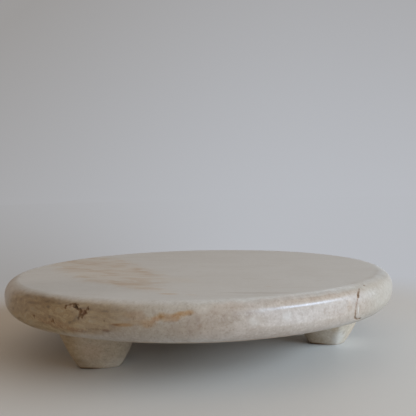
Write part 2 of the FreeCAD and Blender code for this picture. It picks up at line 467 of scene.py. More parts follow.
def marble_body():
    """Cloudy stone, mottled light and dark down to single grains."""
    group, given, gives = new_group(
        "Marble body",
        (
            ("Position", "Vector", (0, 0, 0)),
            ("Mottling", "Float", 1.0),
            ("Pale", "Color", (1, 1, 1, 1)),
            ("Cloud", "Color", (1, 1, 1, 1)),
            ("Light mottle", "Color", (1, 1, 1, 1)),
            ("Dark mottle", "Color", (1, 1, 1, 1)),
        ),
        (("Color", "Color"), ("Clouds", "Float"), ("Grain", "Float")),
    )
    where = given["Position"]
    clouds = speckle(group, where, CLOUDS_PER_METRE, detail=3, distortion=0.5)
    clouds = ramp(group, clouds, CLOUDS_FROM, CLOUDS_TO)
    clouding = ramp(group, given["Mottling"], 0.0, 1.0, CLOUDS_LEFT_SHARE, 1.0)
    stone = blend(group, reckon(group, "MULTIPLY", clouds, clouding), given["Pale"], given["Cloud"])
    mottle = speckle(group, where, MOTTLES_PER_METRE, detail=5, distortion=0.15)
    grains = speckle(group, where, GRAINS_PER_METRE, detail=2, distortion=0.2)
    for waves, low, high, strength, colour in (
        (mottle, 0.50, 0.72, 0.50, "Light mottle"),
        (mottle, 0.48, 0.28, 0.50, "Dark mottle"),
        (grains, 0.54, 0.70, 0.46, "Light mottle"),
        (grains, 0.46, 0.30, 0.48, "Dark mottle"),
    ):
        share = ramp(group, waves, low, high, 0.0, strength)
        stone = blend(group, reckon(group, "MULTIPLY", share, given["Mottling"]), stone, given[colour])
    for socket, value in (("Color", stone), ("Clouds", clouds), ("Grain", grains)):
        group.links.new(value, gives[socket])
    return group


def wavered(tree, position, scale, amount, detail=4.0):
    """A position moved about by noise, by up to about half that amount each way."""
    wobble = add(tree, "TexNoise", {"Vector": position, "Scale": scale, "Detail": detail})
    level = vector(tree, "SUBTRACT", wobble.outputs["Color"], (0.5, 0.5, 0.5))
    wander = add(tree, "VectorMath", {0: level, "Scale": amount}, operation="SCALE")
    return vector(tree, "ADD", position, wander.outputs["Vector"])


WAVERS_PER_METRE = 30.0


def bedding_streaks():
    """Long thin streaks that follow the stone's bed and waver."""
    group, given, gives = new_group(
        "Bedding streaks",
        (
            ("Position", "Vector", (0, 0, 0)),
            ("Turn", "Float", 0.0),
            ("Scale", "Float", 60.0),
            ("Stretch", "Vector", (0.1, 1, 1)),
            ("Low", "Float", 0.5),
            ("High", "Float", 0.7),
            ("Waver", "Float", 0.0),
        ),
        (("Streak", "Float"),),
    )
    place = wavered(group, given["Position"], WAVERS_PER_METRE, given["Waver"], detail=2.0)
    turn = add(group, "VectorRotate", {"Vector": place, "Angle": given["Turn"]})
    laid = vector(group, "MULTIPLY", turn.outputs["Vector"], given["Stretch"])
    waves = speckle(group, laid, given["Scale"], detail=5, distortion=0.6)
    group.links.new(ramp(group, waves, given["Low"], given["High"]), gives["Streak"])
    return group


# The bands are mostly flattened clouds, with a share of curling lines among them.
BAND_FLATNESS = (1, 1, 2.4)
BAND_CLOUDS_PER_METRE, BAND_CURLS_PER_METRE = 66, 70.0
BAND_CLOUDS_SHARE = 0.86


def ochre_banding():
    """The brown, ochre and cream bands of the stained stone, which run along the rim and curl."""
    group, given, gives = new_group(
        "Ochre banding", (("Position", "Vector", (0, 0, 0)),), (("Color", "Color"),)
    )
    where = given["Position"]
    laid = vector(group, "MULTIPLY", where, BAND_FLATNESS)
    clouds = speckle(group, laid, BAND_CLOUDS_PER_METRE, detail=7, distortion=2.2)
    curling = {"Distortion": 14.0, "Detail": 4.0, "Detail Scale": 0.7}
    curling.update({"Vector": where, "Scale": BAND_CURLS_PER_METRE})
    curls = add(group, "TexWave", curling, bands_direction="Z").outputs["Fac"]
    clouds = reckon(group, "MULTIPLY", clouds, BAND_CLOUDS_SHARE)
    curls = reckon(group, "MULTIPLY", curls, 1 - BAND_CLOUDS_SHARE)
    colours = add(group, "ValToRGB", {"Fac": reckon(group, "ADD", clouds, curls)})
    stops = colours.color_ramp.elements
    for place, colour in OCHRE_BANDS:
        stop = stops.new(place)
        stop.color = colour
    stops.remove(stops[-1])
    stops.remove(stops[0])
    group.links.new(colours.outputs["Color"], gives["Color"])
    return group


def stain_patch():
    """A soft patch of a given place, size and lie, with a ragged edge."""
    group, given, gives = new_group(
        "Stain patch",
        (
            ("Position", "Vector", (0, 0, 0)),
            ("Centre", "Vector", (0, 0, 0)),
            ("Turn", "Float", 0.0),
            ("Half size", "Vector", (1, 1, 1)),
            ("Wander", "Float", 0.01),
            ("Scale", "Float", 110.0),
            ("Soft", "Float", 0.5),
        ),
        (("Mask", "Float"),),
    )
    moved = wavered(group, given["Position"], given["Scale"], given["Wander"])
    offset = vector(group, "SUBTRACT", moved, given["Centre"])
    lie = add(group, "VectorRotate", {"Vector": offset, "Angle": given["Turn"]})
    scaled = vector(group, "DIVIDE", lie.outputs["Vector"], given["Half size"])
    away = add(group, "VectorMath", {0: scaled}, operation="LENGTH").outputs["Value"]
    inside = reckon(group, "SUBTRACT", 1.0, given["Soft"])
    group.links.new(ramp(group, away, 1.0, inside), gives["Mask"])
    return group


# Colours of the stone, clear and cloudy and in its mottles, and of what shows in it: brown streaks,
# stone newly laid bare and a painted highlight, grime and painted shade, the painted sheen of the work
# face, and the ochre bands.
BOARD_STONE = {
    "Pale": (0.537, 0.51, 0.475, 1),
    "Cloud": (0.487, 0.45, 0.408, 1),
    "Light mottle": (0.64, 0.62, 0.59, 1),
    "Dark mottle": (0.387, 0.335, 0.282, 1),
}
STREAK_BROWN = (0.40, 0.33, 0.26, 1)
# Also laid on as a painted highlight along the crack's lip.
FRESH_STONE_AND_HIGHLIGHT = (0.72, 0.71, 0.69, 1)
# Grime in the breaks, and painted shade at the edge of the feet's bases.
GRIME_AND_SHADE = (0.075, 0.046, 0.022, 1)
# A pale bluish painted sheen, laid over the work face.
PAINTED_FACE_SHEEN = (0.66, 0.72, 0.78, 1)
OCHRE_BANDS = (
    (0.28, (0.190, 0.131, 0.067, 1)),
    (0.38, (0.285, 0.203, 0.104, 1)),
    (0.46, (0.361, 0.267, 0.142, 1)),
    (0.50, (0.304, 0.218, 0.114, 1)),
    (0.57, (0.427, 0.330, 0.185, 1)),
    (0.64, (0.351, 0.276, 0.166, 1)),
    (0.75, (0.427, 0.363, 0.257, 1)),
)
# What has soaked in, as the share of red, green and blue that it lets through.
TAN = (1.0, 0.88, 0.74, 1)
# The shoulder's tan is partly painted shade.
SHOULDER_TAN_AND_SHADE = (0.845, 0.775, 0.70, 1)
DULL_GREY = (0.84, 0.84, 0.84, 1)
DULL_BROWN = (0.74, 0.68, 0.60, 1)
OLIVE = (0.74, 0.69, 0.60, 1)
ORANGE = (0.90, 0.64, 0.40, 1)
RUST = (0.58, 0.45, 0.33, 1)
RED_BROWN = (0.62, 0.40, 0.26, 1)
OCHRE = (0.90, 0.72, 0.48, 1)
CREAM = (0.785, 0.73, 0.668, 1)
PINKISH = (0.965, 0.90, 0.87, 1)
VEIN_TAN = (0.97, 0.86, 0.72, 1)
VEIN_RED = (0.85, 0.70, 0.55, 1)
VEIN_BROWN = (0.93, 0.83, 0.74, 1)
DULL_TAN = (0.80, 0.785, 0.765, 1)
WARM_BROWN = (0.92, 0.80, 0.69, 1)
DARK_LINE = (0.66, 0.60, 0.54, 1)
WARM_GREY = (0.92, 0.89, 0.86, 1)
UNPOLISHED = (0.93, 0.77, 0.58, 1)
# How the stone's bed, the ochre patch on the work face and its streaks lie, in degrees.
BED_LIE = -24
PATCH_LIE = -81
STREAK_LIE = -32
MARBLE_BODY = marble_body()
BEDDING_STREAKS = bedding_streaks()
OCHRE_BANDING = ochre_banding()
STAIN_PATCH = stain_patch()


def rim_patch(degrees, height, long, tall, deep, lie, wander, soft):
    """A patch of the rim, as long, tall and deep as given in millimetres to each side of its middle.
    Its place is given as if the rim were unrolled: along it, up it and out from the axis."""
    along = BOARD_RADIUS * math.radians(degrees + 90)
    return {
        "Centre": (along, height * MM, rim_reach(height * MM)),
        "Turn": -math.radians(lie),
        "Half size": Vector((long, tall, deep)) * MM,
        "Wander": wander * MM,
        "Soft": soft,
    }


def rim_tint(
    degrees, height, long, tall, colour, strength, wander=4, soft=0.7, deep=7, lie=0, look="soaked"
):
    """A tint on the rim, mostly a stain and in a few places painted light. Its look is soaked, streaky
    or broken, or fresh if it hides the stone.
    """
    return "rim", rim_patch(degrees, height, long, tall, deep, lie, wander, soft), colour, strength, look


STAIN_DEPTH = 6


def top_stain(x, y, long, wide, colour, strength, wander=4, soft=0.7, lie=BED_LIE, look="soaked"):
    """A stain on the work face, lying along the bed unless its own lie is given."""
    return "face", {
        "Centre": (x * MM, y * MM, WORK_FACE),
        "Turn": -math.radians(lie),
        "Half size": Vector((long, wide, STAIN_DEPTH)) * MM,
        "Wander": wander * MM,
        "Soft": soft,
    }, colour, strength, look


# A patch this far across and this deep takes in a whole face. Its middle lies just outside the stone.
WHOLE_FACE = Vector((420, 420, 4)) * MM
OUTSIDE = 1 * MM


def face_tint(height, colour, strength, wander, look="soaked"):
    """A tint over a whole face of the board, at that height. It is a stain below and a painted sheen on
    the work face.
    """
    place = {"Centre": (0, 0, height), "Half size": WHOLE_FACE, "Wander": wander * MM, "Soft": 0.6}
    return "face", place, colour, strength, look


BOARD_STAINS_AND_PAINTED_LIGHT = (
    # The unpolished underside, and a pale bluish painted sheen over the work face.
    face_tint(UNDERSIDE - OUTSIDE, UNPOLISHED, 0.95, 2),
    face_tint(WORK_FACE + OUTSIDE, PAINTED_FACE_SHEEN, 0.23, 1, look="fresh"),
    # The work face: darker at its left, with an ochre patch full of red streaks, and small marks.
    top_stain(-104, -52, 82, 48, DULL_GREY, 0.65, 12, 0.8),
    top_stain(-57, -108, 58, 13, DULL_GREY, 0.17, 4, 0.8, -28),
    top_stain(-71, 36, 142, 40, TAN, 0.39, 18, 0.45, PATCH_LIE),
    top_stain(-71, 36, 140, 39, VEIN_RED, 0.62, 16, 0.40, PATCH_LIE, look="streaky"),
    top_stain(-43, -4, 36, 9, VEIN_RED, 0.42, 6, 0.5, -90, look="streaky"),
    top_stain(-60, -66, 44, 9, TAN, 0.31, 6, 0.6, -62),
    top_stain(-60, -66, 42, 9, VEIN_RED, 0.30, 6, 0.5, -62, look="streaky"),
    top_stain(-82, 74, 34, 16, VEIN_RED, 0.46, 10, 0.7, -60, look="streaky"),
    top_stain(-27, -53, 24, 12, TAN, 0.23, 8, 0.8, -60),
    top_stain(-46.2, -102.5, 7.5, 3.0, ORANGE, 0.50, 1.5, 0.6, -33),
    top_stain(-34.1, -111.0, 6, 2.6, ORANGE, 0.23, 1.5, 0.8, -40),
    top_stain(0, -118.8, 32, 3.8, DARK_LINE, 0.37, 4, 0.8, -26),
    top_stain(-18.7, -13.3, 3.4, 1.8, OLIVE, 0.42, 2, 0.9),
    top_stain(-6.4, -20.8, 4.2, 1.8, OLIVE, 0.42, 2, 0.9),
    top_stain(16.6, -68, 8, 2.6, OLIVE, 0.23, 2, 0.7, -34),
    top_stain(31.7, -78.4, 6, 2.4, OLIVE, 0.19, 2),
    top_stain(5.2, 6.0, 3.6, 1.8, OLIVE, 0.31, 2, 0.9),
    top_stain(65.4, -53.1, 5, 2.2, OLIVE, 0.23, 2, 0.9),
    top_stain(54.4, -93.4, 6, 2.0, OLIVE, 0.23, 2, 0.9),
    top_stain(15.8, -101.7, 3.6, 1.6, VEIN_RED, 0.46, 1.5, 0.8, -33),
    top_stain(-130, 8, 3, 3, DARK_LINE, 0.69, 2, 0.9),
    # The rim's left and front: broad dull tones, and the darker line along its top.
    rim_tint(-111.5, 43.5, 59, 18, DULL_BROWN, 0.60, 8, 0.6, 9),
    rim_tint(-84, 40, 78, 22, PINKISH, 1.0, 8, 0.35, 9),
    rim_tint(-143, 49.1, 50, 1.8, OLIVE, 0.85, 2, 0.7, 6),
    rim_tint(-148.5, 44.5, 9, 3.5, DULL_TAN, 0.5, 3, 0.9),
    rim_tint(-127.5, 48.3, 17, 2.8, DULL_TAN, 0.5, 3, 0.8),
    rim_tint(-136.6, 47.4, 3.2, 1.5, RED_BROWN, 0.45, 2, look="broken"),
    rim_tint(-146, 47.2, 26, 1.7, OLIVE, 0.75, 3, 0.8, 6, 3),
    rim_tint(-119, 34.5, 44, 9, DULL_BROWN, 0.55, 5, 0.7, 20, 5),
    rim_tint(-108, 40, 24, 6, DULL_BROWN, 0.35, 5, 0.8, 9),
    # The orange vein, from its tan bed to its rusty core, and what trails from it.
    rim_tint(-108.8, 45.8, 7.5, 2.3, VEIN_TAN, 0.9, 4),
    rim_tint(-112.4, 44.4, 9.5, 3.0, VEIN_TAN, 0.95, 4),
    rim_tint(-119.4, 45.0, 9, 3.4, VEIN_BROWN, 0.9, 4),
    rim_tint(-116.4, 41.2, 7, 4.6, VEIN_TAN, 1.0, 4),
    rim_tint(-119.4, 41.2, 9, 2.3, VEIN_TAN, 0.7, 4, 0.7, 7, 8),
    rim_tint(-122.6, 39.9, 9, 1.4, VEIN_TAN, 0.8, 2),
    rim_tint(-108.7, 46.2, 6.0, 1.8, OCHRE, 0.9, 3, look="broken"),
    rim_tint(-109.8, 44.7, 5.0, 1.8, OCHRE, 0.85, 3, look="broken"),
    rim_tint(-107.5, 46.2, 3.6, 1.9, OCHRE, 0.65, 3),
    rim_tint(-107.2, 45.6, 2.0, 1.0, RUST, 0.5, 1, look="broken"),
    rim_tint(-113.4, 45.0, 2.8, 2.2, OCHRE, 1.0, 3, look="broken"),
    rim_tint(-113.6, 44.4, 1.3, 2.3, RUST, 0.36, 2, look="broken"),
    rim_tint(-111.3, 44.1, 6.5, 2.8, VEIN_BROWN, 0.7, 3, 0.6, 7, -3),
    rim_tint(-111.2, 44.1, 6.0, 1.8, OCHRE, 0.2, 3, 0.7, 7, -3, look="broken"),
    rim_tint(-114.4, 43.5, 2.4, 2.4, ORANGE, 0.45, 2, look="broken"),
    rim_tint(-110.5, 42.9, 3.5, 0.9, ORANGE, 0.45, 2, look="broken"),
    rim_tint(-115.0, 42.8, 3.2, 3.0, ORANGE, 0.65, 3, look="broken"),
    rim_tint(-116.2, 40.4, 4.6, 3.2, VEIN_RED, 0.65, 3, look="broken"),
    rim_tint(-116.0, 39.4, 1.6, 0.9, RUST, 0.5, 2, look="broken"),
    rim_tint(-119.7, 43.6, 1.7, 1.8, OLIVE, 0.8, 2, look="broken"),
    rim_tint(-122.4, 39.8, 8, 1.3, OCHRE, 0.65, 2),
    rim_tint(-123.9, 39.9, 3.2, 0.9, RUST, 0.8, 1),
    rim_tint(-126.4, 36.3, 3.8, 1.2, RED_BROWN, 0.65, 1.5),
    rim_tint(-129.6, 36.6, 9, 0.9, RUST, 0.6, 2, look="broken"),
    # Brown and red marks beside the pits and below them.
    rim_tint(-127, 46.2, 24, 4.5, DULL_BROWN, 0.35, 5, 0.8),
    rim_tint(-140, 36.4, 34, 3.6, WARM_BROWN, 0.9, 5, 0.8, 9, -6, look="broken"),
    rim_tint(-132.6, 45, 3.2, 3, RED_BROWN, 0.8, 3, look="broken"),
    rim_tint(-134.5, 34.8, 8, 2.0, RED_BROWN, 0.45, 4, look="broken"),
    rim_tint(-139.0, 35.5, 12, 1.6, RED_BROWN, 0.40, 4, 0.7, 7, 6, look="broken"),
    rim_tint(-145.5, 37.0, 10, 1.3, RED_BROWN, 0.45, 3, 0.7, 7, -8, look="broken"),
    # The rim's front and right: the tan shoulder over the arris, partly stain and partly painted shade,
    # and cleaner stone.
    rim_tint(-99.4, 43.3, 10, 5, DULL_BROWN, 0.45, 5, look="broken"),
    rim_tint(-105.1, 39.6, 2.0, 1.4, RED_BROWN, 0.25, 2),
    rim_tint(-94, 44.7, 6, 3.2, DULL_BROWN, 0.5, 4, look="broken"),
    # The shoulder's tan band: partly stain, partly painted shade where it tilts up away from the low
    # light.
    rim_tint(-75, 50.3, 56, 1.7, DULL_TAN, 0.85, 1.5, 0.7, 5),
    rim_tint(-71.5, 48.9, 42, 1.7, SHOULDER_TAN_AND_SHADE, 0.80, 2, 0.8, 8),
    rim_tint(-66.6, 42.5, 4, 5.5, OCHRE, 0.35, 3, 0.9, look="broken"),
    rim_tint(-50, 42, 66, 24, CREAM, 0.95, 6, 0.6, 16),
    rim_tint(-36, 50.8, 34, 3.4, DULL_TAN, 0.75, 2, 0.8, 10),
    rim_tint(-71, 40, 26, 9, WARM_GREY, 0.9, 5, 0.8),
    rim_tint(-92, 49.6, 16, 3.2, DULL_GREY, 0.6, 4, 0.8),
    rim_tint(-85.2, 42.5, 4, 3.4, FRESH_STONE_AND_HIGHLIGHT, 0.28, 5, look="fresh"),
    rim_tint(-93.5, 40.6, 4.4, 3.6, FRESH_STONE_AND_HIGHLIGHT, 0.28, 7, 0.9, look="fresh"),
    rim_tint(-91.2, 46.7, 2.6, 2.0, FRESH_STONE_AND_HIGHLIGHT, 0.20, 4, look="fresh"),
    rim_tint(-104.5, 47.6, 6, 2.8, FRESH_STONE_AND_HIGHLIGHT, 0.22, 4, look="fresh"),
    # A thin pale line on the crack's lip: painted highlight.
    rim_tint(-63.3, 38.2, 0.7, 4.2, FRESH_STONE_AND_HIGHLIGHT, 0.40, 0.5, 0.6, look="fresh"),
    # The rest of the rim, with a few faint veins.
    rim_tint(-184, 43, 42, 12, VEIN_TAN, 0.7, 10, 0.8, 9),
    rim_tint(-180, 41, 26, 13, OCHRE, 0.7, 12, 0.9, 9, look="broken"),
    rim_tint(-178, 44, 18, 3, OLIVE, 0.6, 8, 0.9, 9, 5, look="broken"),
    rim_tint(-190, 41, 30, 3.0, VEIN_RED, 0.6, 6, 0.8, 9, 7, look="broken"),
    rim_tint(-212, 46, 24, 3.4, VEIN_RED, 0.6, 6, 0.8, 9, -6, look="broken"),
    rim_tint(-240, 39, 40, 4.5, VEIN_TAN, 0.8, 8, 0.8, 9, 5, look="broken"),
    rim_tint(-243, 38, 18, 1.6, OCHRE, 0.5, 5, 0.8, 9, 5, look="broken"),
    rim_tint(62, 44, 34, 6, DULL_TAN, 0.45, 8, 0.8, 9, -4),
    rim_tint(18, 39, 38, 3.6, VEIN_BROWN, 0.8, 6, 0.8, 9, -6, look="broken"),
)


def rim_zone(degrees, height, long, tall, strength, soft, deep=10, lie=0, wander=5):
    """A stretch of the rim that is changed all through, or changed back if its strength is negative."""
    return "rim", rim_patch(degrees, height, long, tall, deep, lie, wander, soft), strength


# Where the rim is ochre, and where its polish is worn dull or is better than elsewhere.
BOARD_OCHRE = (
    rim_zone(-149, 39.5, 62, 22, 0.95, 0.50),
    rim_zone(-133, 42, 50, 20, 0.80, 0.75, lie=3),
    rim_zone(-116, 33.5, 58, 9.5, -0.9, 0.45, deep=20, lie=9, wander=8),
)
BOARD_DULL = (
    rim_zone(-64, 46, 42, 9, 0.20, 0.9, 12),
    rim_zone(-80, 47, 34, 5, -0.12, 0.8, 12),
)


def patch_share(tree, laid_out, side, place, strength):
    """How strongly a patch shows: with its full strength inside, and not at all past its ragged edge."""
    mask = use_group(tree, STAIN_PATCH, {"Position": laid_out[side], **place})["Mask"]
    return reckon(tree, "MULTIPLY", mask, strength)


def ochre_share(tree, laid_out, zones):
    """How far the stone is ochre: each zone spreads it, and a clean one takes it away again."""
    share = 0.0
    for side, place, strength in zones:
        patch = patch_share(tree, laid_out, side, place, strength)
        if strength > 0:
            share = reckon(tree, "MAXIMUM", share, patch)
        else:
            share = reckon(tree, "MULTIPLY", share, reckon(tree, "ADD", patch, 1.0))
    return share


# How far inside the edge the rim's finish starts and is full, and how far below the work face the
# underside's finish starts.
RIM_STARTS, RIM_FULL = 12 * MM, 5 * MM
BELOW_STARTS = 8 * MM


def lay_out(tree, where):
    """The places that stains are given by: on a face, and on the rim as if it were unrolled.
    Also how far a point belongs to the rim, and how far to the underside."""
    axes = add(tree, "SeparateXYZ", {0: where}).outputs
    level = vector(tree, "MULTIPLY", where, (1, 1, 0))
    from_axis = add(tree, "VectorMath", {0: level}, operation="LENGTH").outputs["Value"]
    round_the_axis = reckon(tree, "ARCTAN2", axes["X"], reckon(tree, "MULTIPLY", axes["Y"], -1.0))
    along = reckon(tree, "MULTIPLY", round_the_axis, BOARD_RADIUS)
    unrolled = add(tree, "CombineXYZ", {"X": along, "Y": axes["Z"], "Z": from_axis}).outputs["Vector"]
    on_the_rim = ramp(tree, from_axis, BOARD_RADIUS - RIM_STARTS, BOARD_RADIUS - RIM_FULL)
    below = ramp(tree, axes["Z"], WORK_FACE - BELOW_STARTS, UNDERSIDE)
    return {"face": where, "rim": unrolled}, on_the_rim, below


# Streaks in the stone: brown veins and short dashes along its bed, and the red ones of the ochre patch.
ALONG_THE_BED = -math.radians(BED_LIE)
VEINS = {"Turn": ALONG_THE_BED, "Scale": 60.0, "Stretch": (0.13, 1, 1.3), "Low": 0.50, "High": 0.74}
DASHES = {"Turn": ALONG_THE_BED, "Scale": 150.0, "Stretch": (0.12, 1, 1), "Low": 0.56, "High": 0.70}
RED_STREAKS = {
    "Turn": -math.radians(STREAK_LIE),
    "Scale": 150.0,
    "Stretch": (0.20, 1, 1),
    "Low": 0.42,
    "High": 0.64,
    "Waver": 22 * MM,
}
VEINS_SHARE, DASHES_SHARE = 0.12, 0.22
# How much of the mottling shows on the work face, and how much the ochre bands take on of it.
FACE_MOTTLING_SHARE = 0.25
BAND_MOTTLING_SHARE = 0.3
# A broken stain shows in crumbs: so many to the metre, between which levels one sets in, and the share
# of the stain that is left between them.
CRUMBS_PER_METRE = 430
CRUMBS_FROM, CRUMBS_TO = 0.36, 0.60
CRUMBS_LEFT_SHARE = 0.15
# Grime, and at the feet's base painted shade, stains the stone like rust up to this level, and past it
# hides the stone.
DARKENING_HIDES = 0.5
# The roughness of the honed face, from clear stone to cloudy, and what the rest adds to it.
HONED_CLEAR, HONED_CLOUDY = 0.52, 0.55
RIM_ROUGHER, OCHRE_ROUGHER, GRIME_ROUGHER = -0.16, 0.10, 0.5
GRAIN_STRENGTH, GRAIN_DEPTH = 0.10, 0.15 * MM
# The polish glints bluer than the stone is.
GLINT_TINT = (0.67, 0.78, 1.0, 1)
GLINT_LEVEL = 0.65


def marble(name, stone, stains_and_painted_light, ochre_zones, dull_zones=()):
    """Old marble, honed on the work face and polished on the rim, with stains and painted light in their
    own places.
    """
    material, tree, shader, where = new_material(name)
    laid_out, on_the_rim, below = lay_out(tree, where)
    mottling = reckon(tree, "MAXIMUM", ramp(tree, on_the_rim, 0.0, 1.0, FACE_MOTTLING_SHARE, 1.0), below)
    body = use_group(tree, MARBLE_BODY, {"Position": where, "Mottling": mottling, **stone})

    def streaks(lie):
        return use_group(tree, BEDDING_STREAKS, {"Position": where, **lie})["Streak"]

    colour = body["Color"]
    for lie, strength in ((VEINS, VEINS_SHARE), (DASHES, DASHES_SHARE)):
        colour = blend(tree, reckon(tree, "MULTIPLY", streaks(lie), strength), colour, STREAK_BROWN)
    rougher = [(on_the_rim, RIM_ROUGHER)]
    if ochre_zones:
        ochre = ochre_share(tree, laid_out, ochre_zones)
        banding = use_group(tree, OCHRE_BANDING, {"Position": where})["Color"]
        mottled = blend(tree, BAND_MOTTLING_SHARE, banding, body["Color"], "OVERLAY")
        colour = blend(tree, ochre, colour, mottled)
        rougher.append((ochre, OCHRE_ROUGHER))
    crumbs = speckle(tree, where, CRUMBS_PER_METRE, detail=4, distortion=1.2)
    crumbs = ramp(tree, crumbs, CRUMBS_FROM, CRUMBS_TO, CRUMBS_LEFT_SHARE, 1.0)
    looks = {"streaky": streaks(RED_STREAKS), "broken": crumbs}
    for side, place, tint_colour, strength, look in stains_and_painted_light:
        share = patch_share(tree, laid_out, side, place, strength)
        if look in looks:
            share = reckon(tree, "MULTIPLY", share, looks[look])
        colour = blend(tree, share, colour, tint_colour, "MIX" if look == "fresh" else "MULTIPLY")
    # The darkness that comes with the mesh: grime in the breaks, and at the feet's base dirt with
    # painted shade.
    darkness = add(tree, "Attribute", attribute_name="darkness").outputs["Fac"]
    colour = blend(tree, ramp(tree, darkness, 0.0, DARKENING_HIDES), colour, RUST, "MULTIPLY")
    colour = blend(tree, ramp(tree, darkness, DARKENING_HIDES, 1.0), colour, GRIME_AND_SHADE)
    rougher.append((darkness, GRIME_ROUGHER))
    roughness = ramp(tree, body["Clouds"], 0.0, 1.0, HONED_CLEAR, HONED_CLOUDY)
    for share, more in rougher:
        roughness = reckon(tree, "ADD", roughness, reckon(tree, "MULTIPLY", share, more))
    for zone in dull_zones:
        roughness = reckon(tree, "ADD", roughness, patch_share(tree, laid_out, *zone))
    grain = {"Strength": GRAIN_STRENGTH, "Distance": GRAIN_DEPTH, "Height": body["Grain"]}
    feed(tree, shader.inputs["Base Color"], colour)
    feed(tree, shader.inputs["Roughness"], roughness)
    feed(tree, shader.inputs["Normal"], add(tree, "Bump", grain).outputs["Normal"])
    shader.inputs["Specular Tint"].default_value = GLINT_TINT
    shader.inputs["Specular IOR Level"].default_value = GLINT_LEVEL
    return material


board.data.materials.append(marble("Stained marble", BOARD_STONE, BOARD_STAINS_AND_PAINTED_LIGHT, BOARD_OCHRE, BOARD_DULL))

# Feet
# Three short marble cones with bowed sides, cut by hand and rubbed down, so no two are quite alike.
# A round spigot on each shoulder is let into a socket of the board and bedded in cement.
FOOT_BASE_ROUND = 1.6 * MM
FOOT_BASE_ROUND_END = -30
SPIGOT_RADIUS = 12 * MM
SPIGOT_CHAMFER = 1.2 * MM
# Each foot's base radius and the bow of its sides in millimetres, how softly its flats meet and how
# straight they are. Then the flats: the direction of each in degrees, and how many millimetres it is
# from the axis at the floor and at the shoulder.
FOOT_SHAPES = {
    "back": (13.6, 2.0, 0.03, 0.85, ((40, 12.4, 25.5), (150, 12.2, 25.0), (250, 12.6, 25.5))),
    "front_left": (
        16.5, 1.9, 0.03, 0.75,
        ((-100, 13.0, 25.2), (-16, 15.3, 25.0), (90, 13.5, 26.0), (178, 14.2, 25.6)),
    ),
    "front_right": (14.4, 1.4, 0.05, 0.9, ((-122, 12.1, 25.4), (45, 12.8, 25.0), (158, 12.4, 23.5))),
}
# How finely a foot is cut up: steps along its outline, and degrees round it.
BASE_STEPS, BASE_ROUND_STEPS, SIDE_STEPS = 6, 6, 40
SHOULDER_STEPS, SPIGOT_STEPS = 6, 4
FOOT_TURN_STEP = 2


def bowed(base, shoulder, bow, share):
    """How far a bowed side stands from the axis, that share of the way up from base to shoulder."""
    return base + (shoulder - base) * share + 4 * bow * share * (1 - share)


def outline_of_foot(base_radius, bow, shoulder_radius, shoulder, tip):
    """From the middle of the base up the bowed side, in along the shoulder and up the spigot."""
    base_centre = (base_radius - FOOT_BASE_ROUND, FOOT_BASE_ROUND)
    base_round = arc(base_centre, FOOT_BASE_ROUND, -90, FOOT_BASE_ROUND_END, BASE_ROUND_STEPS)
    side_start, side_low = base_round[-1]
    share = np.linspace(0, 1, SIDE_STEPS + 1)
    rise = side_low + (shoulder - side_low) * share
    side = np.column_stack([bowed(side_start, shoulder_radius, bow, share), rise])
    spigot_root = (SPIGOT_RADIUS, shoulder)
    spigot_edge = (SPIGOT_RADIUS, tip - SPIGOT_CHAMFER)
    spigot_face = (SPIGOT_RADIUS - SPIGOT_CHAMFER, tip)
    return join(
        line((0, 0), base_round[0], BASE_STEPS),
        base_round,
        side,
        line(side[-1], spigot_root, SHOULDER_STEPS),
        line(spigot_root, spigot_edge, SPIGOT_STEPS),
        line(spigot_edge, spigot_face, 1),
        line(spigot_face, (0, tip), SPIGOT_STEPS),
    )


# Flats and waves fade out between two depths below the board, and the waves also near the floor. A flat
# runs out from the axis no further than at the turn that has this cosine.
WORK_FADE_FROM, WORK_FADE_TO = 12 * MM, 1.5 * MM
FOOT_WAVES = ((0.3 * MM, 15 * MM), (0.12 * MM, 5 * MM))
WAVES_RISE = 3 * MM
LEAST_COSINE = 0.3
# The side of each foot, in degrees, where the edge of its base is darkened: dirt from the floor, and
# painted shade of the gap under the edge. Then how high the darkening reaches, up to what share of that
# it is full, the share of it on the other sides, between which cosines of the turn it sets in, and how
# far the edge of the base faces down.
DARK_EDGE_SIDE = {"back": 60, "front_left": -148, "front_right": -165}
DARK_EDGE_RISE = 2.0 * MM
DARK_EDGE_FULL_SHARE = 0.2
OTHER_SIDES_SHARE = 0.2
DARK_EDGE_FROM, DARK_EDGE_TO = 0.5, 0.95
BASE_EDGE_FACING = -0.7


def work_the_foot(shape, shoulder_radius, shoulder, centre, dark_edge_side):
    """Flats where the side was cut, soft waves where it was rubbed down, and dirt and painted shade
    round its base.
    """
    base_radius, bow, softness, straight, flats = shape

    def work(points, angles, normals):
        height = points[:, 2]
        share = np.clip(height / shoulder, 0, 1)
        round_side = bowed(base_radius * MM, shoulder_radius, bow * MM, share)
        reach = np.ones(len(points))
        for direction, at_floor, at_shoulder in flats:
            turn = np.radians((np.degrees(angles) - direction + 180) % 360 - 180)
            flat = bowed(at_floor * MM, at_shoulder * MM, bow * MM, share)
            flat /= np.maximum(np.cos(straight * turn), LEAST_COSINE)
            reach = rounded_least(reach, flat / round_side, softness)
        below_board = 1 - smooth(height, UNDERSIDE - WORK_FADE_FROM, UNDERSIDE - WORK_FADE_TO)
        cut = np.zeros((len(points), 3))
        cut[:, :2] = (points[:, :2] - centre) * ((reach - 1) * below_board)[:, None]
        waves = ripples(points, FOOT_WAVES)
        waves *= (1 - np.abs(normals[:, 2])) * below_board * smooth(height, 0, WAVES_RISE)
        # The edge of the base is darkened on one side: dirt and painted shade.
        towards = np.cos(angles - math.radians(dark_edge_side))
        darkening = 1 - smooth(height, DARK_EDGE_FULL_SHARE * DARK_EDGE_RISE, DARK_EDGE_RISE)
        darkening *= smooth(normals[:, 2], -1, BASE_EDGE_FACING)
        darkening *= OTHER_SIDES_SHARE + (1 - OTHER_SIDES_SHARE) * smooth(towards, DARK_EDGE_FROM, DARK_EDGE_TO)
        return cut + normals * waves[:, None], darkening

    return work


